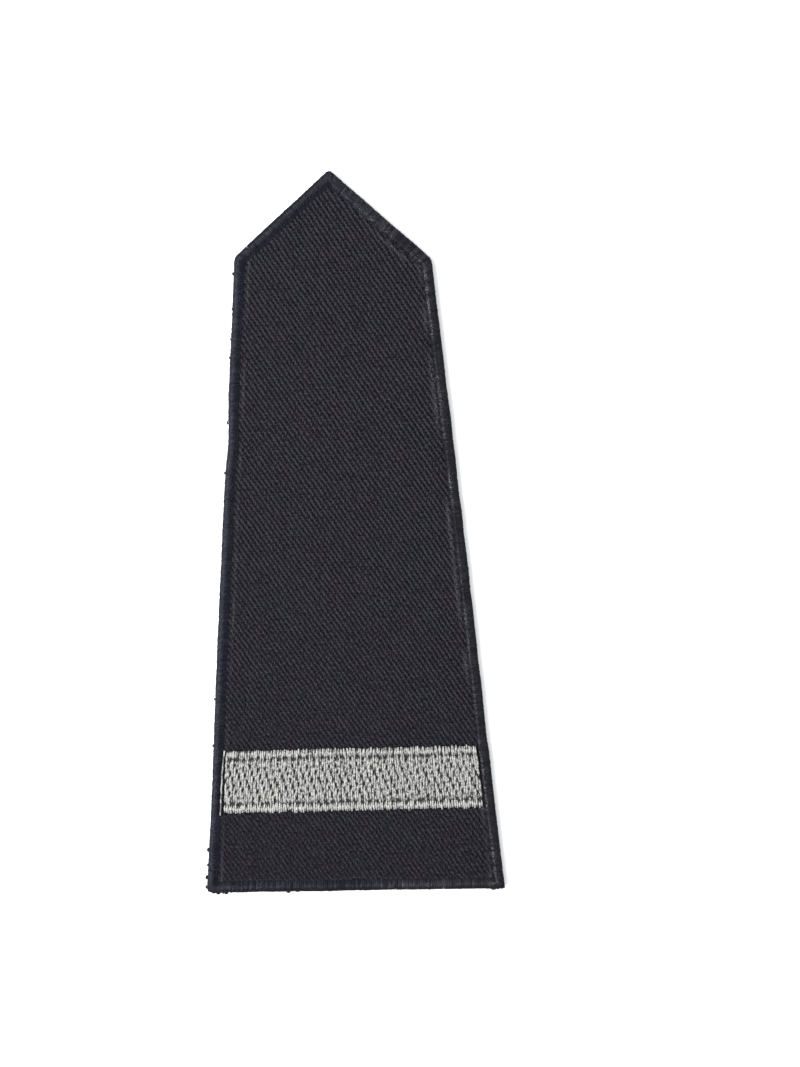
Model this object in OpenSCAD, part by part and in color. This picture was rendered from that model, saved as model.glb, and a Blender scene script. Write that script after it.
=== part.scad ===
// Shoulder board: a five-sided cloth slip with a satin-stitched border and one embroidered silver bar.
// It lies on its back. X runs across it, Y towards its point and Z out of its face.
// The origin is on the back, in the middle of its length and width. Sizes are in millimetres.

/* [Outline] */
// Length from the base to the tip of the point
board_len = 135; // [100:0.5:160]
// Width across the base
base_w = 57.4; // [44:0.1:80]
// Width across the shoulders, where the point begins
shoulder_w = 35.9; // [26:0.1:42]
// Height of the point above the shoulders
point_h = 15.7; // [8:0.1:26]
// How much higher the left shoulder stands than the right one
shoulder_skew = 1.5; // [-3:0.1:3]
// How far the base slopes down from its left corner to its right one
base_skew = 0.4; // [0:0.1:2]
// How far the shoulders lie to the left of the middle
shoulder_offset = 0.25; // [-2:0.05:2]
// How far the tip lies to the left of the middle
tip_offset = 0.5; // [-2:0.05:2]
// Depth of the dent that the left edge has above its middle
edge_dent = 0.35; // [0:0.05:0.8]

/* [Cloth] */
// Thickness of the twill with its stiffening and backing
cloth_t = 1.2; // [1:0.05:3]

/* [Border] */
// Width of the border on the face
border_w = 1.85; // [1.4:0.05:4]
// How far the crest of the border stands above the face of the cloth
border_rise = 0.65; // [0.4:0.05:1]
// How far the crest rises above the two sides of the border
border_crown = 0.5; // [0.1:0.05:0.6]
// Distance from the outline in to the crest
crest_from_edge = 1; // [0.6:0.05:1.3]
// Width of the border on the back
border_back_w = 1.5; // [1:0.05:3.5]
// Thickness of the threads on the back
border_back_t = 0.25; // [0.15:0.05:0.4]
// Thickness of the threads round the cut edge of the cloth
border_side_t = 0.4; // [0.2:0.05:0.7]
// How far the stitches press the cloth down along its edge
stitch_press = 0.2; // [0.05:0.05:0.3]

/* [Bar] */
// Height of the bar, measured along the board
bar_h = 12.1; // [6:0.1:20]
// Distance from the base to the lower edge of the bar
bar_from_base = 16.3; // [6:0.1:40]
// How far the bar stands above the face of the cloth
bar_rise = 0.6; // [0.4:0.05:1]
// Radius of the long edges of the bar
bar_edge_r = 0.3; // [0.1:0.05:0.35]
// Height of the row of stitches along the upper edge of the bar
upper_row_h = 1.8; // [1:0.1:2.4]
// Height of the row of stitches along the lower edge of the bar
lower_row_h = 1.3; // [1:0.1:2.4]
// Width of the furrow that the needle leaves between two rows
furrow_w = 0.5; // [0.2:0.05:0.8]
// Depth of that furrow
furrow_depth = 0.15; // [0.05:0.05:0.25]

/* [Fits] */
// Clearance between one piece and the next
gap = 0.05; // [0.02:0.01:0.1]
// Distance from the border to the left end of the bar
bar_gap_left = 0.15; // [0.1:0.05:4]
// Distance from the border to the right end of the bar
bar_gap_right = 0.5; // [0.1:0.05:4]

/* [Hidden] */
$fn = 64;

// The long edges aren't cut quite straight. Each row is one bend: x is its place as a share of the
// edge's length and y how far in it lies as a share of edge_dent. The right edge is counted from the
// base up and the left one from the shoulder down.
RIGHT_BENDS = [[0.24, 0.4], [0.5, -0.1], [0.76, -0.1], [0.93, 0.3]];
LEFT_BENDS = [[0.21, 0], [0.275, 1], [0.34, 0], [0.58, -0.2], [0.86, 0.3]];

shoulder_y = board_len / 2 - point_h;
base_left = [-base_w / 2, -board_len / 2 + base_skew];
base_right = [base_w / 2, -board_len / 2];
left_shoulder = [-shoulder_w / 2 - shoulder_offset, shoulder_y + shoulder_skew / 2];
right_shoulder = [shoulder_w / 2 - shoulder_offset, shoulder_y - shoulder_skew / 2];
tip = [-tip_offset, board_len / 2];

border_h = cloth_t + border_rise;
side_h = border_h - border_crown;
furrow_r = arc_radius(furrow_w, furrow_depth);
rim_top = cloth_t - stitch_press;
rim_bottom = border_back_t + gap;
bar_top = cloth_t + bar_rise;
bar_bottom = cloth_t + gap;
bar_low_y = -board_len / 2 + bar_from_base;
// Flat strips that make up each side of the rounded top
crest_steps = 6;
// How far a cutting shape reaches past what it cuts
over = 1;

// The radius of an arc that is as wide as this and rises as high as this
function arc_radius(width, height) = (pow(width / 2, 2) + pow(height, 2)) / (2 * height);
function unit(v) = v / norm(v);
// The direction to the left of v, which is inwards on an outline that runs anticlockwise
function leftwards(v) = [-v.y, v.x];
// The bends of the edge that runs from one corner to the next
function bends(from, to, rows) =
    let (inwards = leftwards(unit(to - from)))
    [for (row = rows) from + row.x * (to - from) + row.y * edge_dent * inwards];
// The outline, anticlockwise from the base's left corner
function outline() = concat(
    [base_left, base_right],
    bends(base_right, right_shoulder, RIGHT_BENDS),
    [right_shoulder, tip, left_shoulder],
    bends(left_shoulder, base_left, LEFT_BENDS)
);
// The outline moved inwards by d, with its corners kept sharp
function inset(points, d) =
    let (n = len(points))
    [for (i = [0:n - 1])
        let (before = leftwards(unit(points[i] - points[(i + n - 1) % n])))
        let (after = leftwards(unit(points[(i + 1) % n] - points[i])))
        points[i] + d * (before + after) / (1 + before * after)];

module slab(inset_by, z_low, z_high) {
    translate([0, 0, z_low])
        linear_extrude(z_high - z_low)
            polygon(inset(outline(), inset_by));
}

// The cloth: thick inside the border, with a thinner rim that the stitches hold
module ground_cloth() {
    color("#23242c") {
        slab(border_back_w + gap, 0, rim_bottom);
        slab(border_side_t + gap, rim_bottom, rim_top);
        slab(border_w + gap, rim_top, cloth_t);
    }
}

// The border's section, as [distance in from the outline, height]: up the outer side, over the
// crest, down the inner side, round the rim of the cloth and back along the underside
function border_section() = concat(
    [[0, 0]],
    crest(),
    [
        [border_w, rim_top + gap],
        [border_side_t, rim_top + gap],
        [border_side_t, border_back_t],
        [border_back_w, border_back_t],
        [border_back_w, 0]
    ]
);
// The rounded top: a long quarter of an ellipse up from the outer side and a short one down to the inner
function crest() = concat(
    [for (i = [0:crest_steps])
        let (angle = 90 * i / crest_steps)
        [crest_from_edge * (1 - cos(angle)), side_h + border_crown * sin(angle)]],
    [for (i = [1:crest_steps])
        let (angle = 90 * i / crest_steps)
        [crest_from_edge + (border_w - crest_from_edge) * sin(angle), side_h + border_crown * cos(angle)]]
);

// A closed ring: the section carried round the outline, with mitred corners
module ring(section) {
    corners = outline();
    n = len(corners);
    m = len(section);
    points = [
        for (place = section)
            for (corner = inset(corners, place.x))
                [corner.x, corner.y, place.y]
    ];
    faces = [
        for (j = [0:m - 1])
            for (i = [0:n - 1])
                let (i_next = (i + 1) % n)
                let (j_next = (j + 1) % m)
                [j * n + i, j_next * n + i, j_next * n + i_next, j * n + i_next]
    ];
    polyhedron(points, faces);
}

module border() {
    color("#15161c")
        ring(border_section());
}

// The bar's section: x is the distance up from its lower edge and y the height above its underside
module bar_section() {
    thick = bar_top - bar_bottom;
    difference() {
        intersection() {
            square([bar_h, thick]);
            union() {
                square([bar_h, thick - bar_edge_r]);
                translate([bar_edge_r, 0])
                    square([bar_h - 2 * bar_edge_r, thick]);
                for (x = [bar_edge_r, bar_h - bar_edge_r])
                    translate([x, thick - bar_edge_r])
                        circle(bar_edge_r);
            }
        }
        for (x = [lower_row_h, bar_h - upper_row_h])
            translate([x, thick - furrow_depth + furrow_r])
                circle(furrow_r);
    }
}

// Half of the space inside the border, from the middle out to a gap's width from the border
module half_room(start_x, end_gap) {
    linear_extrude(bar_top + over)
        intersection() {
            polygon(inset(outline(), border_w + end_gap));
            translate([start_x, -board_len])
                square([base_w, 2 * board_len]);
        }
}

module rank_bar() {
    color("#b9bcc2")
        intersection() {
            translate([-base_w / 2, bar_low_y, bar_bottom])
                rotate([90, 0, 90])
                    linear_extrude(base_w)
                        bar_section();
            union() {
                half_room(-base_w, bar_gap_left);
                half_room(0, bar_gap_right);
            }
        }
}

ground_cloth();
border();
rank_bar();
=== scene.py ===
"""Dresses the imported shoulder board: twill cloth, satin-stitched border and silver embroidered bar.

Lengths are in millimetres until a mesh is made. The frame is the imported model's: X runs across the
board, Y towards its point and Z out of its face, and the board lies on its back at Z = 0.
"""

import logging
import math
from dataclasses import dataclass
from enum import Enum
from functools import partial
from typing import Callable

import bpy
import numpy as np
from bpy.types import Material, Object
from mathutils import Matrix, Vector


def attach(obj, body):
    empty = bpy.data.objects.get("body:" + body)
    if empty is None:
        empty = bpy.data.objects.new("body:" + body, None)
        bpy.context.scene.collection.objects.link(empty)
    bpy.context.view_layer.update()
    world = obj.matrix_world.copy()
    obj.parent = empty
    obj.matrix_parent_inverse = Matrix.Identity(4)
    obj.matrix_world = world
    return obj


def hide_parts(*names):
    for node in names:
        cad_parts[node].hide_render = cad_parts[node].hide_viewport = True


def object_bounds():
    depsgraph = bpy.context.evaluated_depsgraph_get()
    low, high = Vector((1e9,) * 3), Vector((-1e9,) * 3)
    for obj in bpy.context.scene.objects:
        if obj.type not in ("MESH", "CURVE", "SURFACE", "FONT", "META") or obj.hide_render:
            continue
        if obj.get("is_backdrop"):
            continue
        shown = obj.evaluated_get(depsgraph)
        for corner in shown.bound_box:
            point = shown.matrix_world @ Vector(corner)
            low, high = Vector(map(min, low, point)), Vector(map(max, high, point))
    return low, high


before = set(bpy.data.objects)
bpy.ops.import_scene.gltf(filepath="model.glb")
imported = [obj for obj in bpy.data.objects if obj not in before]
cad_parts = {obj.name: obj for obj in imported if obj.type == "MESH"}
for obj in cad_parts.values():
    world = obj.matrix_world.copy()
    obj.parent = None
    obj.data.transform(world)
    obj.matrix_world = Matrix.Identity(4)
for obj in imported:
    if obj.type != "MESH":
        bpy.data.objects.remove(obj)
cad_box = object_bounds()

MM = 0.001
Array = np.ndarray
Colour = tuple[float, float, float]
Span = tuple[float, float]
log = logging.getLogger("shoulder_board")


class Piece(Enum):
    """The pieces made here: the name of each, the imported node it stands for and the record's slot."""

    CLOTH = ("twill_slip", "ground_cloth", "twill")
    BORDER = ("satin_border", "border", "border_thread")
    BAR = ("silver_bar", "rank_bar", "silver_thread")


# ---- Shader expressions ----


def math_method(operation: str, turned: bool = False) -> Callable[..., "Wire"]:
    """Makes a method of a wire that adds one Math node.

    Args:
        operation: the node's operation.
        turned: whether the other value comes first, as in 1 - wire.

    Returns:
        The method.
    """

    def method(self: "Wire", *others: "Wire | float") -> "Wire":
        """The node's result."""
        values = (*others, self) if turned else (self, *others)
        return self.recipe.wire(0, "ShaderNodeMath", {"operation": operation}, dict(enumerate(values)))

    return method


class Wire:
    """A number that flows from a node's output. Arithmetic on it adds Math nodes to its recipe."""

    __add__, __radd__ = math_method("ADD"), math_method("ADD", turned=True)
    __sub__, __rsub__ = math_method("SUBTRACT"), math_method("SUBTRACT", turned=True)
    __mul__, __rmul__ = math_method("MULTIPLY"), math_method("MULTIPLY", turned=True)
    __truediv__ = math_method("DIVIDE")
    floor, fract, sine = math_method("FLOOR"), math_method("FRACT"), math_method("SINE")
    above, below = math_method("MAXIMUM"), math_method("MINIMUM")

    def __init__(self, recipe: "Recipe", socket: bpy.types.NodeSocket) -> None:
        """Holds an output socket, and the recipe that adds the nodes after it."""
        self.recipe = recipe
        self.socket = socket

    def clamp(self) -> "Wire":
        """The value held between 0 and 1."""
        return self.above(0.0).below(1.0)

    def step(self, low: float, high: float) -> "Wire":
        """A smooth step from 0 at the low value to 1 at the high one."""
        inputs = {"Value": self, "From Min": low, "From Max": high}
        return self.recipe.wire("Result", "ShaderNodeMapRange", {"interpolation_type": "SMOOTHSTEP"}, inputs)


class Recipe:
    """One material, made of nodes."""

    def __init__(self, name: str) -> None:
        """Starts an empty material of this name."""
        self.material = bpy.data.materials.new(name)
        self.material.use_nodes = True
        self.tree = self.material.node_tree
        self.tree.nodes.clear()

    def node(self, kind: str, settings: dict | None = None, inputs: dict | None = None) -> bpy.types.Node:
        """Adds one node.

        Args:
            kind: the node's type.
            settings: its settings, set first.
            inputs: the value or the wire of each socket, by name or number.

        Returns:
            The node.
        """
        made = self.tree.nodes.new(kind)
        for name, value in (settings or {}).items():
            setattr(made, name, value)
        for key, value in (inputs or {}).items():
            if isinstance(value, Wire):
                self.tree.links.new(value.socket, made.inputs[key])
            else:
                made.inputs[key].default_value = value
        return made

    def wire(self, output: int | str, kind: str, settings: dict | None = None,
             inputs: dict | None = None) -> Wire:
        """Adds one node and gives this output of it."""
        return Wire(self, self.node(kind, settings, inputs).outputs[output])

    def uv(self, name: str) -> tuple[Wire, Wire]:
        """The two coordinates of a UV map, in millimetres."""
        place = self.wire("UV", "ShaderNodeUVMap", {"uv_map": name})
        parts = self.node("ShaderNodeSeparateXYZ", inputs={0: place})
        return Wire(self, parts.outputs["X"]), Wire(self, parts.outputs["Y"])

    def spot(self) -> Wire:
        """Object coordinates."""
        return self.wire("Object", "ShaderNodeTexCoord")

    def place(self, axis: str) -> Wire:
        """Where a point lies along an axis, in millimetres."""
        return self.wire(axis, "ShaderNodeSeparateXYZ", inputs={0: self.spot()}) / MM

    def mark(self, name: str) -> Wire:
        """One of the piece's own attributes."""
        return self.wire("Fac", "ShaderNodeAttribute", {"attribute_name": name})

    def vector(self, x: Wire | float, y: Wire | float) -> Wire:
        """A vector of two numbers and 0."""
        return self.wire(0, "ShaderNodeCombineXYZ", inputs={0: x, 1: y})

    def noise(self, place: Wire, scale: float, detail: float = 2.0, rough: float = 0.5) -> Wire:
        """Smooth noise around 0.5: scale is its lumps to a unit, detail its octaves, rough the fine ones."""
        inputs = {"Vector": place, "Scale": scale, "Detail": detail, "Roughness": rough}
        return self.wire("Fac", "ShaderNodeTexNoise", inputs=inputs)

    def chance(self, place: Wire) -> Wire:
        """A chance number from 0 to 1, the same all over each whole-numbered place."""
        return self.wire("Value", "ShaderNodeTexWhiteNoise", {"noise_dimensions": "3D"}, {"Vector": place})

    def blend(self, share: Wire, low: Colour | Wire, high: Colour | Wire) -> Wire:
        """A colour between two colours."""
        low, high = (part if isinstance(part, Wire) else (*part, 1.0) for part in (low, high))
        return self.wire(2, "ShaderNodeMix", {"data_type": "RGBA"}, {0: share, 6: low, 7: high})

    def bump(self, height: Wire, depth: float) -> Wire:
        """A normal from a height of 0 to 1, which stands for a depth in millimetres."""
        inputs = {"Strength": 1.0, "Distance": depth * MM, "Height": height}
        return self.wire("Normal", "ShaderNodeBump", inputs=inputs)

    def finish(self, inputs: dict) -> Material:
        """Adds the shader with these inputs, and gives the material."""
        shader = self.wire("BSDF", "ShaderNodeBsdfPrincipled", inputs=inputs)
        self.node("ShaderNodeOutputMaterial", inputs={"Surface": shader})
        return self.material


# ---- Finishes ----


@dataclass(frozen=True)
class Weave:
    """A 2/1 twill: each warp end floats over two picks and dips under the third."""

    end: float = 0.3187
    pick: float = 0.4947
    middle: float = 1 / 3

    @property
    def repeat_x(self) -> float:
        """Three ends."""
        return 3 * self.end

    @property
    def repeat_y(self) -> float:
        """Three picks."""
        return 3 * self.pick


@dataclass(frozen=True)
class TwillFinish:
    """Near-black twill, with its floats lighter than the hollows between them: painted highlight on the
    floats and ribs, painted shade in the hollows.
    """

    weave: Weave = Weave()
    hollow_shade: Colour = (0.0007, 0.0007, 0.0011)
    warm: Colour = (0.0304, 0.0270, 0.0357)
    cool: Colour = (0.0280, 0.0281, 0.0352)
    # Colour of the painted glints
    glint: Colour = (0.070, 0.068, 0.078)
    backing: Colour = (0.010, 0.010, 0.012)
    backing_shade: Colour = (0.0060, 0.0060, 0.0072)
    face_z: Span = (0.55, 0.75)
    weft: float = 0.27
    rib_share: float = 0.3
    nap_light: float = 0.31
    nap: float = 0.14
    wear: float = 0.42
    wear_y: Span = (-80.0, 10.0)
    wear_x: float = 0.004

    def build(self) -> Material:
        """Makes the material.

        Returns:
            The material.
        """
        mat = Recipe("twill")
        weave = self.weave
        x, y = mat.uv("weave")
        place = mat.vector(x, y)
        end = x / weave.end
        across = end.fract() * 2.0 - 1.0
        turns = end.floor() / 3.0 + 1.0 / 6.0 + y / weave.repeat_y
        reach = (turns.fract() - weave.middle) / weave.middle
        warp = (1.0 - reach * reach).clamp() * (1.0 - 0.15 * across * across)
        pick = (y / weave.pick + 0.5).fract() * 2.0 - 1.0
        slope = (x / weave.repeat_x + y / weave.repeat_y - weave.middle) * math.tau
        rib = (slope + math.pi / 2).sine() * 0.5 + 0.5
        floats = warp.above((1.0 - pick * pick) * self.weft)
        yarn = (1.0 - self.rib_share) * floats + self.rib_share * rib
        nap = self.nap + self.wear * (1.0 - y.step(*self.wear_y)) - self.wear_x * x
        patch = mat.noise(place, 0.35, 3.0, 0.6)
        fibre = mat.noise(mat.vector(x * 3.3, y * 2.0), 1.0, 2.0, 0.7).step(0.28, 0.72)
        chance = mat.chance(mat.vector(end.floor(), turns.floor()))
        uneven = (0.08 + 1.8 * fibre) * (0.8 + 0.4 * patch) * (0.8 + 0.4 * chance)
        # Painted highlight: specks along the glint lines are painted in the glint colour.
        glint = mat.mark("glint") * mat.noise(place, 3.6, 2.0, 0.7).step(0.44, 0.62)
        # Painted light and shade of the weave: lit runs from the painted shade of the hollows to the painted
        # highlight of the floats and ribs.
        lit = (yarn * (1.0 - nap) + self.nap_light * nap) * uneven
        crest = mat.blend(mat.noise(place, 0.22, 1.0).step(0.38, 0.62), self.warm, self.cool)
        colour = mat.blend(glint.clamp(), mat.blend(lit.clamp(), self.hollow_shade, crest), self.glint)
        face = mat.place("Z").step(*self.face_z)
        felt = mat.noise(place, 3.0, 4.0, 0.7)
        back = mat.blend(felt.step(0.3, 0.7), self.backing_shade, self.backing)
        relief = face * (yarn + 0.7 * fibre) + (1.0 - face) * felt
        return mat.finish({
            "Base Color": mat.blend(face, back, colour),
            "Roughness": 0.66 - 0.16 * yarn,
            "Specular IOR Level": 0.03,
            "Sheen Weight": 0.004,
            "Sheen Roughness": 0.4,
            "Normal": mat.bump(relief, 0.08),
        })


@dataclass(frozen=True)
class ThreadFinish:
    """Black two-ply embroidery thread, painted cooler on the left and warmer on the right as a painted tint
    of the light, with painted glints where its glint attribute is set.
    """

    shade: Colour = (0.0022, 0.0022, 0.0048)
    cool: Colour = (0.0372, 0.0373, 0.0530)
    warm: Colour = (0.0412, 0.0393, 0.0440)
    light_tint_x: Span = (-6.0, 20.0)
    glint: Colour = (0.16, 0.16, 0.175)
    ply: float = 0.36

    def build(self) -> Material:
        """Makes the material.

        Returns:
            The material.
        """
        mat = Recipe("border_thread")
        across, along = mat.uv("thread")
        wave = ((along / self.ply + across * 1.3) * math.tau).sine() * 0.5 + 0.5
        fibre = mat.noise(mat.vector(across * 16.0, along * 2.5), 1.0, 2.0, 0.6)
        patch = mat.noise(mat.spot(), 0.5 / MM, 3.0, 0.6)
        fray = mat.noise(mat.spot(), 2.6 / MM, 2.0, 0.7).step(0.32, 0.68)
        # The tone attribute holds each stitch's random tone with its edge's painted light and shade.
        lit = (0.23 + 0.44 * wave) * mat.mark("tone") * (0.6 + 0.8 * patch) * (0.45 + 1.1 * fray)
        # Painted tint of the light: cooler on the left, warmer towards the right.
        light = mat.blend(mat.place("X").step(*self.light_tint_x), self.cool, self.warm)
        plain = mat.blend((lit * (0.6 + 0.8 * fibre)).clamp(), self.shade, light)
        # Painted highlight: where the glint attribute is set, specks of the colour are painted in the glint
        # colour.
        speck = mat.noise(mat.spot(), 3.4 / MM, 2.0, 0.7).step(0.46, 0.62)
        return mat.finish({
            "Base Color": mat.blend((speck * mat.mark("glint")).clamp(), plain, self.glint),
            "Roughness": 0.36 + 0.2 * fibre,
            "Specular IOR Level": 0.07,
            "Normal": mat.bump(wave * 0.6 + fibre * 0.4, 0.05),
        })


@dataclass(frozen=True)
class SilverFinish:
    """Silver thread: a bright film wound round a core, with painted glints: specks of its colour are painted
    lighter as highlights.
    """

    shade: Colour = (0.02, 0.02, 0.02)
    light: Colour = (0.372, 0.367, 0.353)
    film: float = 0.30

    def build(self) -> Material:
        """Makes the material.

        Returns:
            The material.
        """
        mat = Recipe("silver_thread")
        across, along = mat.uv("thread")
        turn = (along / self.film + across * 1.1).fract()
        edge = turn.step(0.0, 0.18) * (1.0 - turn.step(0.88, 1.0))
        place = mat.vector(mat.place("X") * 3.5, mat.place("Y") * 1.7)
        speck = mat.noise(place, 1.0, 1.5, 0.6).step(0.37, 0.62)
        # Painted glints from the specks; the tone brings the painted shade of the holes and the underlay.
        lit = (0.75 + 0.25 * edge) * (1.7 * mat.mark("tone")) * (0.25 + 1.18 * speck)
        return mat.finish({
            "Base Color": mat.blend(lit.clamp(), self.shade, self.light),
            "Metallic": 0.55,
            "Roughness": 0.45 + 0.15 * speck,
            "Normal": mat.bump(edge * 0.4 + speck * 0.8, 0.06),
        })


@dataclass(frozen=True)
class PaperFinish:
    """The pale floor."""

    low: Colour = (0.8955, 0.8955, 0.8955)
    high: Colour = (0.90, 0.90, 0.90)

    def build(self) -> Material:
        """Makes the material.

        Returns:
            The material.
        """
        mat = Recipe("floor")
        colour = mat.blend(mat.noise(mat.spot(), 60.0), self.low, self.high)
        return mat.finish({"Base Color": colour, "Roughness": 0.9, "Specular IOR Level": 0.1})


# ---- Modelling ----


class Bench:
    """The modelling bench: what every piece needs from edit mode."""

    @staticmethod
    def mode(name: str) -> None:
        """Goes to OBJECT or EDIT mode."""
        bpy.ops.object.mode_set(mode=name)

    @staticmethod
    def clear() -> None:
        """Deselects everything."""
        bpy.ops.object.select_all(action="DESELECT")

    @staticmethod
    def read(items: bpy.types.bpy_prop_collection, name: str, kind: type, width: int = 1) -> Array:
        """One property of every item, width numbers each."""
        values = np.empty(len(items) * width, kind)
        items.foreach_get(name, values)
        return values

    @staticmethod
    def write(items: bpy.types.bpy_prop_collection, name: str, values: Array, kind: type) -> None:
        """Sets one property of every item."""
        items.foreach_set(name, np.ascontiguousarray(values, kind).ravel())

    @staticmethod
    def mark(mesh: bpy.types.Mesh, name: str, values: Array) -> None:
        """Gives every point a value, which the material reads by its name."""
        Bench.write(mesh.attributes.new(name, "FLOAT", "POINT").data, "value", values, np.float32)

    @staticmethod
    def points(obj: Object) -> Array:
        """The mesh's points, one row each."""
        return Bench.read(obj.data.vertices, "co", float, 3).reshape(-1, 3)

    @staticmethod
    def move(obj: Object, points: Array) -> None:
        """Moves the mesh's points to these places."""
        Bench.write(obj.data.vertices, "co", points, np.float32)
        obj.data.update()

    @staticmethod
    def pick(obj: Object, chosen: Array) -> None:
        """Selects the points of a mask, with the edges and faces between them, and enters edit mode."""
        Bench.mode("EDIT")
        bpy.ops.mesh.select_mode(type="VERT")
        bpy.ops.mesh.select_all(action="DESELECT")
        Bench.mode("OBJECT")
        Bench.write(obj.data.vertices, "select", chosen, bool)
        Bench.mode("EDIT")

    @staticmethod
    def pick_open() -> None:
        """Selects the open edges, in edit mode."""
        bpy.ops.mesh.select_all(action="DESELECT")
        bpy.ops.mesh.select_non_manifold(extend=False)

    @staticmethod
    def extrude(obj: Object, place: Callable[[Array], Array]) -> None:
        """Extrudes the selected edges and moves what is new.

        Args:
            obj: the object in edit mode.
            place: gives the new place of each point from its old one.
        """
        bpy.ops.mesh.extrude_edges_move(TRANSFORM_OT_translate={"value": (0, 0, 0)})
        Bench.mode("OBJECT")
        points, chosen = Bench.points(obj), Bench.read(obj.data.vertices, "select", bool)
        points[chosen] = place(points[chosen])
        Bench.move(obj, points)
        Bench.mode("EDIT")

    @staticmethod
    def turn_outwards() -> None:
        """Turns every face outwards and leaves edit mode."""
        bpy.ops.mesh.select_all(action="SELECT")
        bpy.ops.mesh.normals_make_consistent(inside=False)
        Bench.mode("OBJECT")


@dataclass
class Pattern:
    """A mesh that is modelled once and copied: its points and its faces."""

    points: Array
    loops: Array
    totals: Array

    @classmethod
    def take(cls, obj: Object) -> "Pattern":
        """Reads a modelled object and removes it.

        Args:
            obj: the modelled object.

        Returns:
            Its pattern.
        """
        mesh = obj.data
        pattern = cls(Bench.points(obj), Bench.read(mesh.loops, "vertex_index", int),
                      Bench.read(mesh.polygons, "loop_total", int))
        bpy.data.objects.remove(obj)
        bpy.data.meshes.remove(mesh)
        return pattern


@dataclass
class Thread:
    """A straight thread of radius 1 along Z, with one ring of points at each whole number."""

    sides: int
    rings: int
    twist: float = 0.0

    def model(self) -> tuple[Pattern, Array, Array, Array]:
        """Models the thread: a disc, extruded and turned a little for each ring.

        Returns:
            Its pattern, and for each point how far it lies across the thread, how far out and at
            which share of the thread's length.
        """
        Bench.clear()
        bpy.ops.mesh.primitive_circle_add(vertices=self.sides, radius=1, fill_type="NGON")
        obj = bpy.context.object
        Bench.mode("EDIT")
        bpy.ops.mesh.select_all(action="SELECT")
        for _ in range(self.rings - 1):
            bpy.ops.mesh.extrude_region_move(TRANSFORM_OT_translate={"value": (0, 0, 1)})
            if self.twist:
                bpy.ops.transform.rotate(value=self.twist * math.tau, orient_axis="Z",
                                         center_override=(0, 0, 0))
        Bench.turn_outwards()
        pattern = Pattern.take(obj)
        across, out, along = pattern.points.T
        return pattern, across, out, along / (self.rings - 1)


class Joiner:
    """Joins copies of patterns into one mesh, each copy with its own points."""

    def __init__(self) -> None:
        """Starts an empty mesh."""
        self.parts = []
        self.count = 0

    def add(self, pattern: Pattern, points: Array, across: Array, along: Array,
            tones: Array | float, glints: Array | float = 0.0, smooth: bool = True) -> None:
        """Adds copies of a pattern. What isn't the same for every copy has a row for each.

        Args:
            pattern: the pattern.
            points: the place of each copy's points, of shape (copies, points, 3).
            across: how far each point lies across the thread, in millimetres.
            along: how far it lies along the thread, in millimetres.
            tones: its tone.
            glints: how much it glints.
            smooth: whether the faces are shaded smooth.
        """
        shape = copies, size = points.shape[:2]
        across, along, tones, glints = (np.broadcast_to(part, shape).ravel()
                                        for part in (across, along, tones, glints))
        starts = self.count + size * np.arange(copies)
        loops = (starts[:, None] + pattern.loops).ravel()
        totals = np.tile(pattern.totals, copies)
        self.parts.append((points.reshape(-1, 3), np.c_[across, along], tones, glints, loops, totals,
                           np.full(len(totals), smooth)))
        self.count += copies * size

    def add_solid(self, obj: Object, tone: float) -> None:
        """Adds a modelled object as it stands, with one tone, and removes it."""
        pattern = Pattern.take(obj)
        x, y, _ = pattern.points.T
        self.add(pattern, pattern.points[None], x, y, tone, smooth=False)

    def build(self) -> Object:
        """Makes the object, in metres.

        Returns:
            The object.
        """
        mesh = bpy.data.meshes.new("threads")
        points, uvs, tones, glints, loops, totals, smooth = map(np.concatenate, zip(*self.parts))
        mesh.vertices.add(len(points))
        Bench.write(mesh.vertices, "co", points * MM, np.float32)
        mesh.loops.add(len(loops))
        Bench.write(mesh.loops, "vertex_index", loops, np.int32)
        mesh.polygons.add(len(totals))
        Bench.write(mesh.polygons, "loop_start", np.cumsum(totals) - totals, np.int32)
        Bench.write(mesh.polygons, "use_smooth", smooth, bool)
        layer = mesh.uv_layers.new(name="thread")
        Bench.write(layer.data, "uv", uvs[loops], np.float32)
        Bench.mark(mesh, "tone", tones)
        Bench.mark(mesh, "glint", glints)
        mesh.update(calc_edges=True)
        mesh.validate()
        obj = bpy.data.objects.new("threads", mesh)
        bpy.context.scene.collection.objects.link(obj)
        return obj


def publish(piece: Piece, obj: Object, material: Material) -> Object:
    """Gives a finished piece its name, its material and its place in the frame, and reports it.

    Args:
        piece: which piece it is.
        obj: its object.
        material: its material.

    Returns:
        The object.
    """
    name, node, slot = piece.value
    obj.name = obj.data.name = name
    obj.data.materials.append(material)
    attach(obj, "root")
    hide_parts(node)
    triangles = sum(len(p.vertices) - 2 for p in obj.data.polygons)
    log.info("%s: %d points, %d triangles", obj.name, len(obj.data.vertices), triangles)
    return obj


def wander(rng: np.random.Generator, places: Array, step: float) -> Array:
    """A value from -1 to 1 that changes smoothly from place to place, and may turn after each step."""
    knots = np.arange(places.min() - step, places.max() + 2 * step, step)
    return np.interp(places, knots, rng.uniform(-1, 1, len(knots)))


# ---- The board's outline ----


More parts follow.
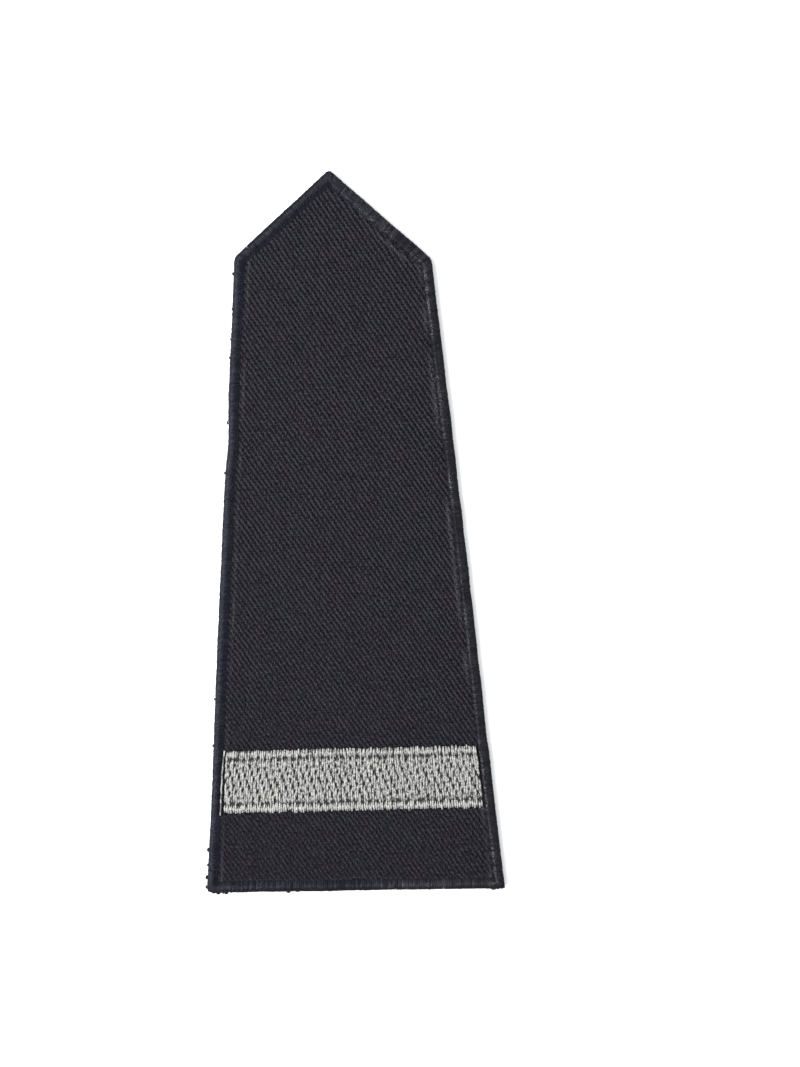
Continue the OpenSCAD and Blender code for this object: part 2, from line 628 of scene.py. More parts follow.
@dataclass(frozen=True)
class Edge:
    """One straight edge of an outline that runs anticlockwise."""

    start: Array
    end: Array

    @property
    def whole(self) -> Array:
        """From its start to its end."""
        return self.end - self.start

    @property
    def length(self) -> float:
        """Its length."""
        return np.linalg.norm(self.whole)

    @property
    def way(self) -> Array:
        """Its direction."""
        return self.whole / self.length

    @property
    def inwards(self) -> Array:
        """The direction into the board, square to it."""
        return np.array([-self.way[1], self.way[0]])

    def measure(self, points: Array) -> tuple[Array, Array]:
        """How far along it and how far in from it points lie."""
        return (points - self.start) @ self.way, (points - self.start) @ self.inwards

    def at(self, axis: int, value: Array | float) -> Array:
        """Its point at this x, for axis 0, or at this y, for axis 1."""
        share = (value - self.start[axis]) / self.whole[axis]
        return self.start + np.asarray(share)[..., None] * self.whole


@dataclass
class Outline:
    """The board's outline from above, anticlockwise from the base's left corner, as in the CAD source."""

    base_left: Span = (-28.7, -67.1)
    base_right: Span = (28.7, -67.5)
    right_shoulder: Span = (17.7, 51.05)
    tip: Span = (-0.5, 67.5)
    left_shoulder: Span = (-18.2, 52.55)
    rounding: tuple[float, ...] = (1.05, 0.5, 0.9, 0.8, 0.9)
    dent: float = 0.35
    right_bends: tuple[Span, ...] = ((0.24, 0.4), (0.5, -0.1), (0.76, -0.1), (0.93, 0.3))
    left_bends: tuple[Span, ...] = ((0.21, 0), (0.275, 1), (0.34, 0), (0.58, -0.2), (0.86, 0.3))

    def main_corners(self) -> Array:
        """The five corners."""
        return np.array([self.base_left, self.base_right, self.right_shoulder, self.tip, self.left_shoulder])

    def corners(self) -> Array:
        """All corners, with the slight bends of the long edges.

        Returns:
            One row of x and y for each.
        """
        five = self.main_corners()
        right = self._bends(Edge(five[1], five[2]), self.right_bends)
        left = self._bends(Edge(five[4], five[0]), self.left_bends)
        return np.vstack([five[:2], right, five[2:], left])

    def tangents(self) -> Array:
        """How far from each corner its rounding begins, 0 at the slight bends."""
        right, left = np.zeros(len(self.right_bends)), np.zeros(len(self.left_bends))
        return np.r_[self.rounding[:2], right, self.rounding[2:], left]

    def _bends(self, edge: Edge, rows: tuple[Span, ...]) -> Array:
        """The bends of an edge, from rows of (share of its length, share of the dent's depth)."""
        return np.array([edge.start + share * edge.whole + depth * self.dent * edge.inwards
                         for share, depth in rows])

    @staticmethod
    def edges(corners: Array) -> list[Edge]:
        """The edges from each corner to the next."""
        return [Edge(*pair) for pair in zip(corners, np.roll(corners, -1, 0))]

    @staticmethod
    def inset(corners: Array, depth: float) -> Array:
        """Moves an outline inwards, with mitred corners.

        Args:
            corners: its corners.
            depth: how far in.

        Returns:
            The new corners.
        """
        after = np.array([edge.inwards for edge in Outline.edges(corners)])
        before = np.roll(after, 1, 0)
        return corners + depth * (before + after) / (1 + (before * after).sum(1))[:, None]

    def depth(self, points: Array, main: bool = False) -> Array:
        """How far points lie inside the nearest edge.

        Args:
            points: points as seen from above.
            main: whether only the five straight edges count.

        Returns:
            One distance for each point, negative outside the board.
        """
        best = np.full(len(points), np.inf)
        for edge in self.edges(self.main_corners() if main else self.corners()):
            along, inwards = edge.measure(points)
            past = np.maximum(np.maximum(-along, along - edge.length), 0)
            away = np.hypot(inwards, past)
            best = np.where(away < np.abs(best), np.where(inwards < 0, -1, 1) * away, best)
        return best


@dataclass
class Rounds:
    """Places for stitches round the board's edge."""

    outer: Array
    inward: Array
    along: Array
    narrowing: Array
    distance: Array
    edge: Array

    @classmethod
    def walk(cls, outline: Outline, width: float, spacing: float, fan: float,
             rng: np.random.Generator) -> "Rounds":
        """Walks round the outline, and fans the stitches out at its corners.

        Args:
            outline: the board's outline.
            width: the border's width.
            spacing: the distance from one stitch to the next.
            fan: how far from a corner the stitches still lean.
            rng: the source of chance.

        Returns:
            The places.
        """
        corners = outline.corners()
        inner = outline.inset(corners, width)
        tangents = outline.tangents()
        main = np.cumsum(tangents > 0) - 1
        edges = outline.edges(corners)
        ways = np.array([edge.way for edge in edges])
        half_turns = np.arccos(np.clip((ways * np.roll(ways, 1, 0)).sum(1), -1, 1)) / 2
        rows = []
        travelled = 0.0
        for k, edge in enumerate(edges):
            after = (k + 1) % len(edges)
            count = max(int(round(edge.length / spacing)), 1)
            a = (np.arange(count) + 0.5 + rng.uniform(-0.08, 0.08, count)) * edge.length / count
            left = edge.length - a
            slip_a, slip_b = (inner[k] - edge.start) @ edge.way, (edge.end - inner[after]) @ edge.way
            near_a, near_b = np.clip(1 - a / fan, 0, 1), np.clip(1 - left / fan, 0, 1)
            b = a + slip_a * near_a - slip_b * near_b
            outer = edge.start + a[:, None] * edge.way
            for gap, side, corner in ((a, 1, k), (left, -1, after)):
                tangent, half = tangents[corner], half_turns[corner]
                if tangent > 0:
                    radius = tangent / math.tan(half)
                    angle = half * np.clip(1 - gap / tangent, 0, 1)
                    slid = np.where(gap < tangent, tangent - radius * np.sin(angle) - gap, 0)
                    outer = outer + np.outer(side * slid, edge.way)
                    outer = outer + np.outer(radius * (1 - np.cos(angle)), edge.inwards)
            to_inner = edge.start + b[:, None] * edge.way + width * edge.inwards - outer
            along = np.tile(edge.way, (count, 1)) * (edge.length / count / spacing)
            narrow = 1 - (slip_a * (near_a > 0) + slip_b * (near_b > 0)) / fan
            rows.append((outer, to_inner / width, along, narrow, travelled + a, np.full(count, main[k])))
            travelled += edge.length
        return cls(*[np.concatenate(column) for column in zip(*rows)])


# ---- The pieces ----


@dataclass
class GroundCloth:
    """The twill slip: ribs woven in relief on its face, pulled down along the border's needle line."""

    outline: Outline
    weave: Weave = Weave()
    width: float = 59.0
    length: float = 136.0
    spare: float = 0.55
    face: float = 1.2
    rim: float = 1.08
    rim_bottom: float = 0.3
    rim_inset: float = 0.5
    back_inset: float = 1.75
    pull_inset: float = 1.75
    pull_width: float = 1.1
    rib_depth: float = 0.058
    bead_depth: float = 0.030
    fuzz: float = 0.012
    hidden_x: float = 23.0
    hidden_y: Span = (-50.4, -39.9)
    # Painted glints, lines of painted highlight in the cloth's colour: edge, distance in from it, spread and
    # strength
    glints: tuple = ((0, 2.30, 0.2, 0.20), (1, 2.48, 0.34, 0.95), (2, 2.95, 0.2, 1.0), (4, 2.70, 0.2, 0.60))

    def build(self) -> Object:
        """Makes the cloth.

        Returns:
            The piece, without its material.
        """
        obj = self._lattice()
        self._trim(obj)
        self._close(obj)
        self._shape(obj)
        return obj

    def _lattice(self) -> Object:
        """A grid whose columns follow the warp ends and whose rows follow the ribs.

        Returns:
            The grid.
        """
        repeat_x, repeat_y = self.weave.repeat_x, self.weave.repeat_y
        step_x, step_y = self.weave.end / 2, repeat_y / 4
        columns = int(self.width / step_x) | 1
        rows = int((self.length + self.width * repeat_y / repeat_x) / step_y)
        Bench.clear()
        bpy.ops.mesh.primitive_grid_add(x_subdivisions=columns, y_subdivisions=rows, size=2)
        obj = bpy.context.object
        points = Bench.points(obj)
        i = np.round((points[:, 0] + 1) / 2 * columns) - columns // 2
        j = np.round((points[:, 1] + 1) / 2 * rows) - rows // 2
        x = (i + 1) * step_x
        y = repeat_y * (self.weave.middle + j / 4 - x / repeat_x)
        Bench.move(obj, np.c_[x, y, np.zeros(len(x))])
        return obj

    def _trim(self, obj: Object) -> None:
        """Cuts the grid to the board's five edges, a little inside them, and thins it under the bar.

        Args:
            obj: the grid.
        """
        Bench.pick(obj, self.outline.depth(Bench.points(obj)[:, :2], main=True) < -self.spare)
        bpy.ops.mesh.delete(type="VERT")
        for edge in self.outline.edges(self.outline.main_corners()):
            place = edge.start + self.rim_inset * edge.inwards
            bpy.ops.mesh.select_all(action="SELECT")
            bpy.ops.mesh.bisect(plane_co=(*place, 0), plane_no=(*(-edge.inwards), 0), clear_outer=True)
        Bench.mode("OBJECT")
        x, y, _ = Bench.points(obj).T
        Bench.pick(obj, (np.abs(x) < self.hidden_x) & (y > self.hidden_y[0]) & (y < self.hidden_y[1]))
        bpy.ops.mesh.select_mode(type="FACE")
        bpy.ops.mesh.dissolve_faces(use_verts=False)
        Bench.mode("OBJECT")

    def _close(self, obj: Object) -> None:
        """Gives the sheet its wall, its thinner rim and its back.

        Args:
            obj: the cut sheet.
        """
        rim, back = (self.outline.edges(self.outline.inset(self.outline.main_corners(), inset))
                     for inset in (self.rim_inset, self.back_inset))

        def slide(points: Array) -> Array:
            """Moves points from the rim's outline to the back's."""
            best = np.full(len(points), np.inf)
            moved = points.copy()
            for old, new in zip(rim, back):
                share = (points[:, :2] - old.start) @ old.whole / (old.whole @ old.whole)
                share = np.clip(share, 0, 1)[:, None]
                off = np.linalg.norm(points[:, :2] - old.start - share * old.whole, axis=1)
                near = off < best
                best = np.where(near, off, best)
                moved[near, :2] = (new.start + share * new.whole)[near]
            return moved

        Bench.mode("EDIT")
        bpy.ops.mesh.select_mode(type="EDGE")
        Bench.pick_open()
        Bench.extrude(obj, lambda points: points + (0, 0, self.rim_bottom - self.face))
        Bench.extrude(obj, slide)
        Bench.extrude(obj, lambda points: points - (0, 0, self.rim_bottom))
        bpy.ops.mesh.edge_face_add()
        Bench.turn_outwards()

    def _shape(self, obj: Object) -> None:
        """Raises the ribs, pulls the edge down and stores the weave's own coordinates and its painted glints.

        Args:
            obj: the closed sheet, with its face at Z = 0.
        """
        points = Bench.points(obj)
        x, y, z = points.T
        layer = obj.data.uv_layers.active
        layer.name = "weave"
        loops = Bench.read(obj.data.loops, "vertex_index", int)
        Bench.write(layer.data, "uv", points[loops, :2], np.float32)
        top = z > -0.1
        depth = self.outline.depth(points[:, :2])
        near = np.clip((depth - self.pull_inset) / self.pull_width, 0, 1)
        pulled = near * near * (3 - 2 * near)
        rng = np.random.default_rng(11)
        rib = np.cos(math.tau * (x / self.weave.repeat_x + y / self.weave.repeat_y - self.weave.middle))
        bead = -np.cos(math.tau * x / self.weave.end)
        relief = self.rib_depth * (rib - 0.5) + self.bead_depth * (bead - 0.3)
        relief = relief + self.fuzz * rng.normal(0, 1, len(x))
        swell = 0.03 * np.sin(x * 0.21 + 1.3) * np.sin(y * 0.13 + 0.4)
        height = self.rim + (self.face - self.rim) * pulled + (relief + swell) * (0.25 + 0.75 * pulled)
        drift = 0.05 * np.sin(y * 0.9 + 2.0 * np.sin(x * 0.5)) + 0.03 * np.sin(y * 2.3 + x * 1.1)
        points[:, 0] = np.where(top, x + drift * pulled, x)
        points[:, 2] = np.where(top, height, z + self.face)
        Bench.move(obj, points * MM)
        obj.data.shade_smooth()
        edges = self.outline.edges(self.outline.main_corners())
        # Lines of painted highlight along the edges, for the material
        glint = np.zeros(len(x))
        for edge, inset, spread, strength in self.glints:
            along, inwards = edges[edge].measure(points[:, :2])
            spell = strength * np.clip(0.5 + 0.8 * wander(rng, along, 4.0), 0, 1)
            glint += np.exp(-((inwards - inset) / spread) ** 2) * spell * (depth > 1.8)
        Bench.mark(obj.data, "glint", glint * top)


@dataclass(frozen=True)
class EdgeStyle:
    """How the satin lies along one of the board's five edges, and its painted light and shade from the cut
    edge inwards: side, shoulder, top, slope and foot scale the tone at each of the border's shading depths.
    """

    width: float
    crest: float
    loose: float
    ragged: float
    contrast: float
    side: float
    shoulder: float
    top: float
    slope: float
    foot: float


@dataclass
class Embroidery:
    """A piece of threads, which are copied from modelled ones and laid over a solid."""

    outline: Outline

    def begin(self, solid: Object, tone: float, seed: int) -> None:
        """Starts the piece with the solid beneath its threads, and the source of chance that they share."""
        self.joiner = Joiner()
        self.joiner.add_solid(solid, tone)
        self.rng = np.random.default_rng(seed)


@dataclass
class Border(Embroidery):
    """The ring of satin stitches over the board's edge."""

    width: float = 1.95
    styles: tuple[EdgeStyle, ...] = (
        EdgeStyle(width=1.95, crest=0.90, loose=0.10, ragged=0.06, contrast=0.34,
                  side=0.05, shoulder=0.10, top=0.85, slope=0.55, foot=0.30),
        EdgeStyle(width=1.90, crest=1.45, loose=0.06, ragged=0.07, contrast=0.20,
                  side=0.30, shoulder=0.55, top=0.20, slope=0.45, foot=0.15),
        EdgeStyle(width=2.20, crest=1.60, loose=0.12, ragged=0.10, contrast=0.36,
                  side=0.65, shoulder=0.90, top=0.10, slope=0.70, foot=0.35),
        EdgeStyle(width=2.10, crest=0.82, loose=0.12, ragged=0.00, contrast=0.14,
                  side=0.00, shoulder=0.85, top=1.00, slope=0.42, foot=0.60),
        EdgeStyle(width=1.95, crest=0.76, loose=0.00, ragged=0.02, contrast=0.10,
                  side=0.50, shoulder=1.40, top=0.90, slope=0.55, foot=0.55),
    )
    passing: int = 7
    # Depths from the cut edge at which each edge's painted light and shade is given
    shading_depths: tuple[float, ...] = (0.25, 0.6, 1.1, 1.5, 2.0)
    side_height: float = 1.30
    crown: float = 0.5
    needle_z: float = 0.98
    foot: float = 1.13
    spacing: float = 0.42
    thread: float = 0.09
    fan: float = 4.0
    loose_end_y: float = -59.8
    base_y: float = -67.5
    # Thread loops that stand out: height above the base, or x along it, and size
    left_nubs: tuple[Span, ...] = (
        (117.3, 0.30), (110.9, 0.14), (105.5, 0.16), (102.1, 0.22), (90.2, 0.14), (81.0, 0.20), (64.6, 0.12),
        (38.3, 0.16), (29.2, 0.14), (8.7, 0.26), (5.7, 0.26), (3.3, 0.34), (1.3, 0.36))
    base_nubs: tuple[Span, ...] = (
        (-27.4, 0.36), (-26.5, 0.50), (-25.7, 0.56), (-24.9, 0.40), (-12.9, 0.50), (-11.2, 0.24),
        (-3.5, 0.15), (8.8, 0.2), (26.6, 0.62), (27.3, 0.56))

    def build(self) -> Object:
        """Makes the border.

        Returns:
            The piece, without its material.
        """
        self.begin(self._core(), 0.5, 23)
        self._add_satin(Rounds.walk(self.outline, self.width, self.spacing, self.fan, self.rng))
        self._add_nubs()
        self._add_loose_end()
        return self.joiner.build()

    def _section(self, crest: float, width: float, loose: float) -> Array:
        """The stitches' outer surface from the needle hole over the crest to the back.

        Args:
            crest: how far in the crest lies.
            width: how far in the needle line lies.
            loose: how far the threads stand off the cut edge.

        Returns:
            Rows of (distance in from the outline, height).
        """
        a = np.linspace(1, 0, 6)
        top = self.side_height + self.crown
        inner = np.c_[crest + (width - crest) * a,
                      self.foot + (top - self.foot) * (0.5 + 0.5 * np.cos(math.pi * a))]
        b = np.radians([80, 60, 38, 18, 0])
        outer = np.c_[crest - (crest + loose) * np.cos(b), self.side_height + self.crown * np.sin(b)]
        return np.vstack([[(width + 0.06, self.needle_z)], inner, outer,
                          [(-loose, 0.7), (-loose, 0.22), (0.12, 0.03), (0.4, 0.0), (1.3, 0.0), (1.5, 0.14)]])

    def _styled(self, *names: str) -> Array:
        """These fields of the five styles: a row for each edge, or one number for each if it is one field."""
        return np.array([[getattr(style, name) for name in names] for style in self.styles]).squeeze()

    @staticmethod
    def _normals(path: Array) -> Array:
        """The outward normals of a section."""
        way = np.gradient(path, axis=0)
        way /= np.linalg.norm(way, axis=1)[:, None]
        return np.c_[way[:, 1], -way[:, 0]]

    def _add_satin(self, rounds: Rounds) -> None:
        """Adds the stitches, in the style of their edge, which passes over into the next one's.

        Args:
            rounds: their places.
        """
        rng = self.rng
        wave = partial(wander, rng, rounds.distance)
        ahead, even = self.passing, np.ones(2 * self.passing + 1) / (2 * self.passing + 1)
        share = np.array([np.convolve(np.r_[column[-ahead:], column, column[:ahead]], even, "valid")
                          for column in np.eye(5)[rounds.edge].T]).T
        count = len(rounds.distance)
        crest = share @ self._styled("crest") + 0.04 * wave(6.0)
        width = share @ self._styled("width") + 0.05 * wave(4.0)
        width = width + rng.normal(0, 0.035, count)
        loose = share @ self._styled("loose")
        loose = loose + share @ self._styled("ragged") * wave(3.5)
        paths = np.array([self._section(*sizes) for sizes in zip(crest, width, loose)])
        normals = np.array([self._normals(path) for path in paths])
        rings = paths.shape[1]
        pattern, across, out, t = Thread(sides=6, rings=rings).model()
        ring = np.round(t * (rings - 1)).astype(int)
        taper = np.where(ring % (rings - 1) == 0, 0.55, 1.0)
        lift = rng.normal(0, 0.025, count) + 0.03 * wave(3.0)
        thick = self.thread * (1 + rng.normal(0, 0.10, count))
        lean = rng.normal(0, 0.03, count) + 0.05 * wave(5.0)
        normals = normals[:, ring]
        centres = paths[:, ring] - self.thread * normals
        d, z = (centres[..., k] + out * normals[..., k] * thick[:, None] * taper for k in (0, 1))
        over = np.clip(centres[..., 1] - 0.5, 0, 1) * lift[:, None]
        d, z = d + over * normals[..., 0], z + over * normals[..., 1]
        shrink = 1 + (rounds.narrowing[:, None] - 1) * np.clip(d / self.width, 0, 1)
        w = across * 0.66 * self.spacing * shrink * taper + lean[:, None] * (d - 1.0)
        flat = (rounds.outer[:, None] + rounds.inward[:, None] * d[..., None]
                + rounds.along[:, None] * w[..., None])
        points = np.concatenate([flat, z[..., None]], axis=2)
        length = np.r_[0, np.cumsum(np.linalg.norm(np.diff(paths[0], axis=0), axis=1))]
        start = rng.uniform(0, 5, count)
        tone = 1 + 1.2 * rng.normal(0, 1, count) * (share @ self._styled("contrast"))
        tone = np.clip(tone + 0.14 * wave(2.0), 0.3, 1.8)[:, None]
        # Painted light and shade: each edge's profile scales the tone, lighter on slopes that face the lamp
        # on the left, darker on those that face away from it.
        tone = tone * sum(part[:, None] * np.interp(d, self.shading_depths, row) for part, row in zip(
            share.T, self._styled("side", "shoulder", "top", "slope", "foot")))
        # Painted glints, for the material
        glints = self._glints(wave(5.0), share, d - crest[:, None])
        self.joiner.add(pattern, points, across * 0.5, start[:, None] + length[ring], tone, glints)

    def _glints(self, wave: Array, share: Array, past: Array) -> Array:
        """Painted glints, highlights painted into the thread's colour: a line along the right edge's crest,
        and broader ones about the crests of the base, the right and the top right.

        Args:
            wave: the wave from -1 to 1 that spells of glints follow.
            share: how far each stitch belongs to each of the five edges.
            past: how far inside the crest each point lies.

        Returns:
            One value for each point.
        """
        luck = self.rng.uniform(0, 1, len(share)) * np.clip(0.5 + 0.7 * wave, 0, 1)
        line = np.exp(-((past - 0.10) / 0.15) ** 2)
        broad = np.exp(-((past - 0.05) / 0.45) ** 2)
        fine = share[:, 1] * (0.10 + 0.85 * luck)
        loose = luck * (share[:, :3] @ (0.45, 0.42, 0.7))
        return line * fine[:, None] + broad * loose[:, None]

    def _core(self) -> Object:
        """The ring beneath the stitches, which shows dark between them and is held in at rounded corners.

        Returns:
            The ring.
        """
        section = (
            (1.60, 1.04), (1.45, 1.26), (1.2, 1.45), (0.9, 1.50), (0.6, 1.45), (0.28, 1.3), (0.12, 1.1),
            (0.10, 0.24), (0.16, 0.17), (1.38, 0.17), (1.38, 0.27), (0.45, 0.27), (0.45, 1.04))
        corners, tangents = self.outline.corners(), self.outline.tangents()
        least = np.where(tangents > 0, 0.42 * tangents + 0.1, 0)
        Bench.clear()
        bpy.ops.mesh.primitive_circle_add(vertices=len(corners), radius=1, fill_type="NOTHING")
        core = bpy.context.object
        now = self.outline.inset(corners, section[0][0])
        Bench.move(core, np.c_[now, np.full(len(now), section[0][1])])
        Bench.mode("EDIT")
        bpy.ops.mesh.select_all(action="SELECT")
        for depth, height in section[1:]:
            way = self.outline.inset(corners, depth) - corners
            reach = np.linalg.norm(way, axis=1)
            after = corners + way * (np.maximum(reach, least) / reach)[:, None]

            def place(points: Array) -> Array:
                """Moves each corner to the same corner of the next ring."""
                which = np.linalg.norm(points[:, None, :2] - now[None], axis=2).argmin(1)
                return np.c_[after[which], np.full(len(points), height)]

            Bench.extrude(core, place)
            now = after
        Bench.pick_open()
        bpy.ops.mesh.bridge_edge_loops()
        Bench.turn_outwards()
        return core

    def _add_loose_end(self) -> None:
        """Adds the thread end that lies across the right border's inner side, near the base."""
        pattern, across, out, t = Thread(sides=6, rings=9).model()
        depth = 1.2 + 1.9 * t + 0.06 * out
        y = self.loose_end_y - 0.25 * t + 0.1 * np.sin(7 * t) + 0.10 * across
        five = self.outline.main_corners()
        x = Edge(five[1], five[2]).at(1, y)[:, 0] - depth
        z = np.interp(depth, (1.2, 1.6, 2.1, 3.1), (1.86, 1.78, 1.45, 1.36)) + 0.08 * out
        self.joiner.add(pattern, np.c_[x, y, z][None], across * 0.3, t, 0.2)

    def _add_nubs(self) -> None:
        """Adds the small thread loops that stand out of the left and bottom edges."""
        rng, five = self.rng, self.outline.main_corners()
        left, base = Edge(five[0], five[4]), Edge(five[0], five[1])
        spots = [(*left.at(1, y + self.base_y), math.pi, r) for y, r in self.left_nubs]
        spots += [(*base.at(0, x), -math.pi / 2, r) for x, r in self.base_nubs]
        pattern, across, out, t = Thread(sides=5, rings=7).model()
        angle = math.pi * (t - 0.5)
        copies = []
        for x, y, facing, r in np.repeat(spots, 3, axis=0):
            size = r * rng.uniform(0.6, 1.1)
            turn = facing + rng.normal(0, 0.5)
            shift = rng.normal(0, 0.12)
            swing = rng.uniform(-0.6, 0.6)
            radial = size * (1 + 0.20 * across / max(size, 0.15))
            forward = radial * np.cos(angle) - 0.1
            side = 0.7 * radial * np.sin(angle) + shift
            up = 0.9 + 0.13 * out + swing * size * np.sin(angle) + rng.uniform(-0.4, 0.3)
            copies.append(np.c_[x + forward * math.cos(turn) - side * math.sin(turn),
                                y + forward * math.sin(turn) + side * math.cos(turn), up])
        self.joiner.add(pattern, np.array(copies), across * 0.3, t, 0.35)


@dataclass
class RankBar(Embroidery):
    """The silver bar: columns of stitches between two edge rows, over an underlay painted near-black as
    shade.
    """

    border_width: float = 1.85
    low: float = -51.2
    high: float = -39.1
    upper_row: float = 1.8
    lower_row: float = 1.55
    gap_left: float = 0.74
    gap_right: float = 0.5
    cloth: float = 1.25
    top: float = 1.8
    pitch: float = 0.41
    stitch: float = 4.03
    shift: float = 0.30
    thread: float = 0.115
    twist: float = 0.11
    dip_length: float = 0.9

    def ends(self, y: float) -> Span:
        """The left and right end of the bar at a height along the board."""
        five = self.outline.main_corners()
        rows = (Edge(five[0], five[4]), self.gap_left, 1), (Edge(five[1], five[2]), self.gap_right, -1)
        return tuple(float(edge.at(1, y)[0] + side * (self.border_width + gap) / abs(edge.way[1]))
                     for edge, gap, side in rows)

    def build(self) -> Object:
        """Makes the bar.

        Returns:
            The piece, without its material.
        """
        # Tone 0 paints the underlay near-black between the stitches: painted shade.
        self.begin(self._underlay(), 0.0, 37)
        runs = self._runs()
        upper = runs[:, 1] > self.high - self.upper_row - 0.6
        lower = runs[:, 3] < self.low + self.lower_row + 0.4
        self._add_stitches(12, runs[~(upper | lower)], 0.55, 0.07)
        self._add_stitches(8, runs[upper], 0.70, 0.24)
        self._add_stitches(8, runs[lower], 0.95, 0.12)
        self._add_end_thread()
        return self.joiner.build()

    def _underlay(self) -> Object:
        """The padding beneath the stitches: a plate with bevelled edges.

        Returns:
            The plate.
        """
        left_low, right_low = self.ends(self.low)
        left_high, right_high = self.ends(self.high)
        Bench.clear()
        bpy.ops.mesh.primitive_cube_add(size=2)
        obj = bpy.context.object
        x, y, z = Bench.points(obj).T
        px = np.where(x < 0, np.where(y < 0, left_low, left_high) + 0.1,
                      np.where(y < 0, right_low, right_high) - 0.1)
        py = np.where(y < 0, self.low + 0.25, self.high - 0.25)
        Bench.move(obj, np.c_[px, py, np.where(z < 0, self.cloth - 0.1, self.cloth + 0.12)])
        Bench.mode("EDIT")
        bpy.ops.mesh.select_all(action="SELECT")
        bpy.ops.mesh.bevel(offset=0.1, segments=2, affect="EDGES")
        Bench.mode("OBJECT")
        return obj

    def _runs(self) -> Array:
        """Every stitch of the bar, column by column.

        Returns:
            Rows of x and y of the lower end, x and y of the upper end, and how open the hole at each is.
        """
        rng = self.rng
        left, right = self.ends((self.low + self.high) / 2)
        count = int((right - left) / self.pitch)
        top_line, low_line = self.high - self.upper_row, self.low + self.lower_row
        runs = []
        for c in range(count):
            share = (c + 0.5) / count
            holes = [(self.low + rng.normal(-0.16, 0.13), 0.45)]
            opens = [1.3 if (turn - c * self.shift + rng.uniform(-0.12, 0.12)) % 1 < 0.45 else 0.4
                     for turn in (0.2, 0.6)]
            first = (-c * self.shift * self.stitch + 0.4) % self.stitch
            fill = [y for y in np.arange(low_line + first, top_line - 0.7, self.stitch) if y > low_line + 0.7]
            holes.append((low_line + rng.normal(-0.14, 0.17), opens[0]))
            holes += [(y + rng.normal(0, 0.10), np.clip(rng.normal(0.92, 0.22), 0.35, 1.2)) for y in fill]
            holes.append((top_line + rng.normal(-0.1, 0.13), opens[1]))
            holes.append((self.high + rng.normal(-0.22, 0.15), 0.55))
            jitter = rng.normal(0, 0.025)
            for (low, low_open), (high, high_open) in zip(holes, holes[1:]):
                place = []
                for y in (low, high):
                    a, b = self.ends(y)
                    free = 0.09 if y > top_line + 0.6 else 0.035
                    place += [a + (b - a) * share + jitter + rng.normal(0, free), y]
                runs.append((*place, low_open, high_open))
        return np.array(runs)

    def _add_stitches(self, rings: int, runs: Array, light: float, spread: float) -> None:
        """Adds stitches that run from one needle hole to the next.

        Args:
            rings: how many rings of points each has.
            runs: where each begins and ends.
            light: their tone.
            spread: how much it varies from one to the next.
        """
        pattern, across, out, t = Thread(sides=6, rings=rings, twist=self.twist).model()
        rng, column = self.rng, (len(runs), 1)
        ring_t = 0.5 - 0.5 * np.cos(math.pi * t) * (0.75 + 0.25 * np.abs(np.cos(math.pi * t)))
        start = runs[:, None, :2]
        way = runs[:, None, 2:4] - start
        length = np.linalg.norm(way, axis=2)
        along = ring_t[None] * length
        sunk = np.maximum(*[opening * (1 - np.clip((far - 0.05) / self.dip_length, 0, 1)) ** 2
                            for far, opening in ((along, runs[:, 4:5]), (length - along, runs[:, 5:6]))])
        dip = np.minimum(sunk, 1)
        size = self.thread * (1 + rng.normal(0, 0.08, column))
        phase = rng.uniform(0, 6, column)
        level = self.top - 0.6 * self.thread + rng.normal(0, 0.02, column) - 0.46 * dip
        level = level + 0.035 * np.sin(along * 3.6 + phase)
        z = level + 0.6 * out * size * (1 - 0.3 * dip)
        sway = 0.030 * rng.normal(0, 1, column) * np.sin(along * 2.4 + 2.0 * phase)
        side = across * (0.5 * self.pitch * 1.12) * (1 - 0.82 * dip) + sway
        unit = way / length[..., None]
        normal = np.stack([unit[..., 1], -unit[..., 0]], axis=2)
        flat = start + unit * along[..., None] + normal * side[..., None]
        points = np.concatenate([flat, z[..., None]], axis=2)
        run = rng.uniform(0, 5, column) + along
        # Painted shade: stitches are darker where they sink into a needle hole.
        tone = np.clip(light + rng.normal(0, spread, column), 0.15, 1.2) * (1 - 0.62 * sunk)
        self.joiner.add(pattern, points, across * 0.5, run, tone)

    def _add_end_thread(self) -> None:
        """Adds the single thread along the left end."""
        pattern, across, out, t = Thread(sides=6, rings=40, twist=self.twist).model()
        y = self.high - 0.1 + t * (self.low - self.high - 0.5)
        x = np.array([self.ends(v)[0] for v in y]) - 0.61
        x = x + (0.03 * np.sin(t * 30) + 0.8 * np.clip(0.3 - t, 0, 1)) + 0.16 * across
        z = self.cloth + 0.16 + 0.12 * out + 0.05 * np.sin(t * 21)
        tone = np.clip(0.55 + 0.6 * np.sin(t * 17 + 2.0) * np.sin(t * 7 + 1.0), 0.15, 0.9)
        self.joiner.add(pattern, np.c_[x, y, z][None], across * 0.5, -y, tone, smooth=False)


# ---- The studio ----


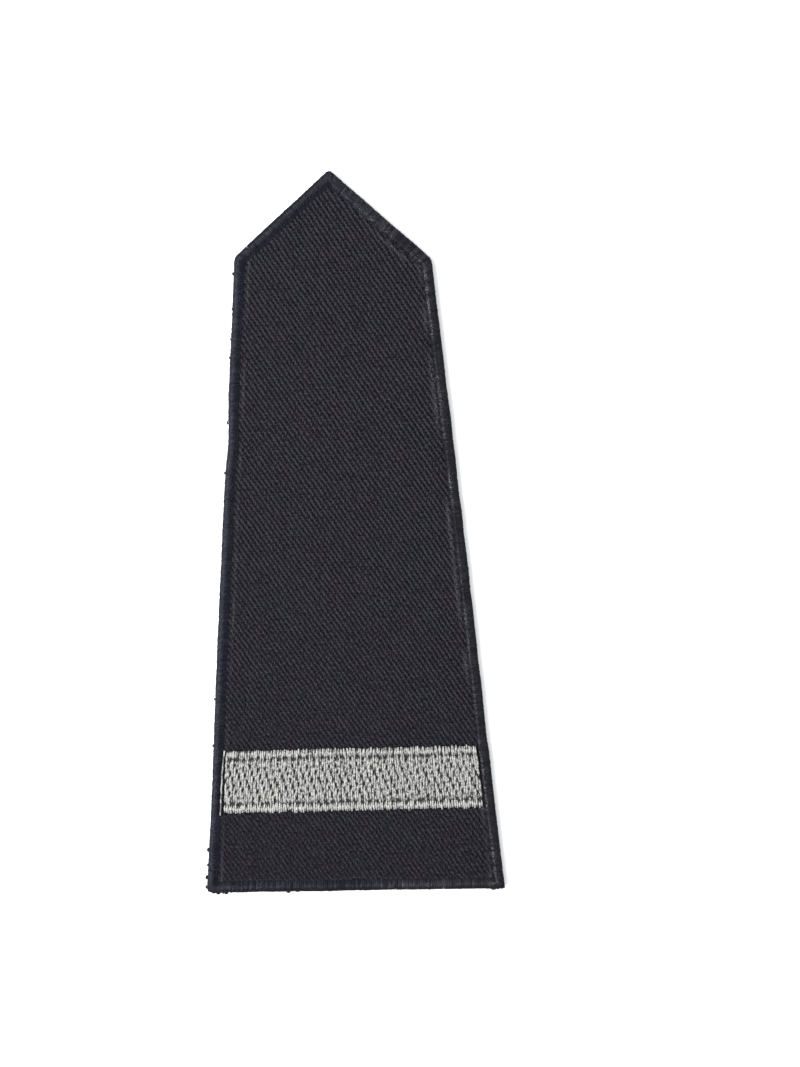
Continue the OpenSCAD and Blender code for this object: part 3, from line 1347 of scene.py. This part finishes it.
@dataclass
class Studio:
    """The pale floor, the soft light and the camera."""

    camera_place: tuple[float, float, float] = (13.90, 23.47, 212.85)
    camera_turn: tuple[float, float, float] = (-5.981, 0.756, -1.609)
    view_angle: float = 50.0
    nearest: float = 10.0
    key_place: tuple[float, float, float] = (-500.0, 90.0, 480.0)
    key_size: float = 600.0
    key_power: float = 8.9
    sky: Colour = (0.97, 0.985, 1.0)
    sky_strength: float = 1.25
    floor_radius: float = 3000.0

    def build(self) -> None:
        """Sets the studio up."""
        scene = bpy.context.scene
        scene.view_settings.view_transform = "Standard"
        self._floor()
        lens = bpy.data.cameras.new("camera")
        lens.angle = math.radians(self.view_angle)
        lens.clip_start = self.nearest * MM
        lamp = bpy.data.lights.new("key", "AREA")
        lamp.size = self.key_size * MM
        lamp.energy = self.key_power
        to_board = (-Vector(self.key_place)).to_track_quat("-Z", "Y").to_euler()
        for data, place, turn in ((lamp, self.key_place, to_board),
                                  (lens, self.camera_place, [math.radians(a) for a in self.camera_turn])):
            obj = bpy.data.objects.new(data.name, data)
            obj.location = Vector(place) * MM
            obj.rotation_euler = turn
            scene.collection.objects.link(obj)
        scene.camera = obj
        world = bpy.data.worlds.new("sky")
        world.use_nodes = True
        back = world.node_tree.nodes["Background"]
        back.inputs["Color"].default_value = (*self.sky, 1.0)
        back.inputs["Strength"].default_value = self.sky_strength
        scene.world = world

    def _floor(self) -> None:
        """Lays the floor, a large round sheet."""
        Bench.clear()
        bpy.ops.mesh.primitive_circle_add(vertices=64, radius=self.floor_radius * MM, fill_type="NGON")
        floor = bpy.context.object
        floor.name = "floor"
        floor.data.materials.append(PaperFinish().build())
        floor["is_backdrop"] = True


def main() -> None:
    """Builds the board piece by piece, dresses it and sets the studio up."""
    logging.basicConfig(level=logging.INFO, format="%(name)s: %(message)s")
    outline = Outline()
    cloth = publish(Piece.CLOTH, GroundCloth(outline).build(), TwillFinish().build())
    border = publish(Piece.BORDER, Border(outline).build(), ThreadFinish().build())
    bar = publish(Piece.BAR, RankBar(outline).build(), SilverFinish().build())
    Studio().build()
    sizes = [[list(map(float, corner)) for corner in box] for box in (cad_box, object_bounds())]
    log.info("cad box %s, visual box %s", *sizes)


if __name__ == "__main__":
    main()
